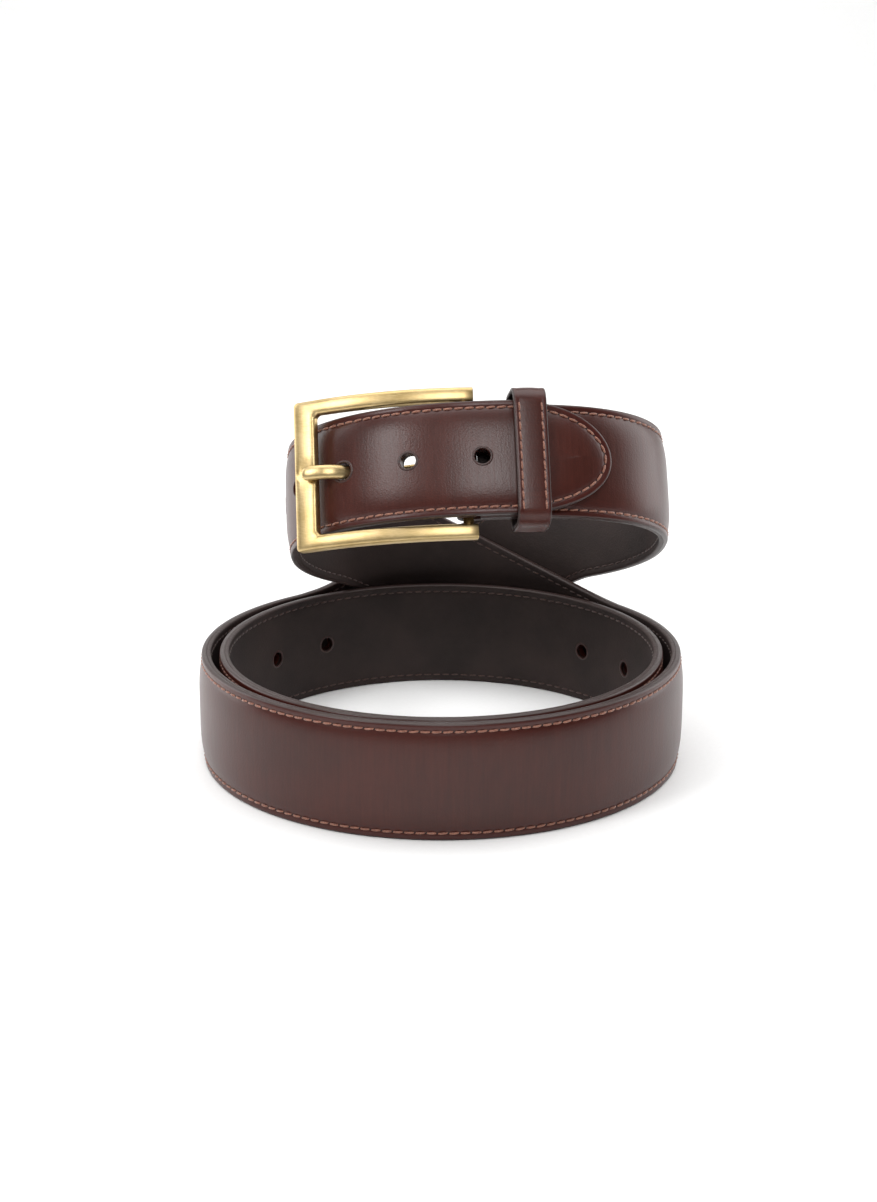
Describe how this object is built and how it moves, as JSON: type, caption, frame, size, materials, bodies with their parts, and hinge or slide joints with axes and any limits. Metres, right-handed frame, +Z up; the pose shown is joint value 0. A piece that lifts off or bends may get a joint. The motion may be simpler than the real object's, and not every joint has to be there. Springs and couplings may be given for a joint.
{
  "type": "leather belt",
  "caption": "Buckled leather dress belt laid up in a standing coil, with a satin brass frame buckle, a prong, a keeper and stitched padded edges.",
  "frame": {"origin": "on the surface the belt stands on, under the middle of its whole width and depth", "axes": "+Z up, -Y towards the buckle and the viewer, +X to the viewer's right"},
  "size_m": [0.1519, 0.1601, 0.1187],
  "materials": {
    "face_leather": "polished dark brown calf with a soft sheen",
    "lining_leather": "matte darker brown lining leather",
    "filler_board": "bonded leather board, raw",
    "thread": "waxed light tan thread",
    "satin_brass": "satin, with softly rounded edges",
    "staple_steel": "plain wire"
  },
  "bodies": {
    "strap": {"strap_face": "face_leather", "strap_filler": "filler_board", "strap_lining": "lining_leather", "strap_seam_upper": "thread", "strap_seam_lower": "thread", "point_seam": "thread", "heel_fold": "face_leather", "fold_seam": "thread", "inner_turn_face": "face_leather", "inner_turn_filler": "filler_board", "inner_turn_lining": "lining_leather", "inner_turn_seam_upper": "thread", "inner_turn_seam_lower": "thread"},
    "buckle": {"buckle_frame": "satin_brass", "heel_bar": "satin_brass"},
    "prong": {"prong": "satin_brass"},
    "keeper": {"keeper_face": "face_leather", "keeper_lining": "lining_leather", "keeper_seam": "thread", "keeper_staple": "staple_steel"}
  },
  "joints": [
    {"name": "buckle_heel_hinge", "type": "hinge", "parent": "strap", "child": "buckle", "pos_m": [0.00753, -0.01721, 0.0958], "axis": [-0.0384, 0.4537, 0.8903], "range_deg": [0, 2]},
    {"name": "prong_hinge", "type": "hinge", "parent": "buckle", "child": "prong", "pos_m": [0.00753, -0.01721, 0.0958], "axis": [-0.0384, 0.4537, 0.8903], "range_deg": [0, 1]},
    {"name": "keeper_slide", "type": "slide", "parent": "strap", "child": "keeper", "axis": [0.9912, 0.1306, -0.0238], "range_m": [-0.003, 0.003]}
  ]
}
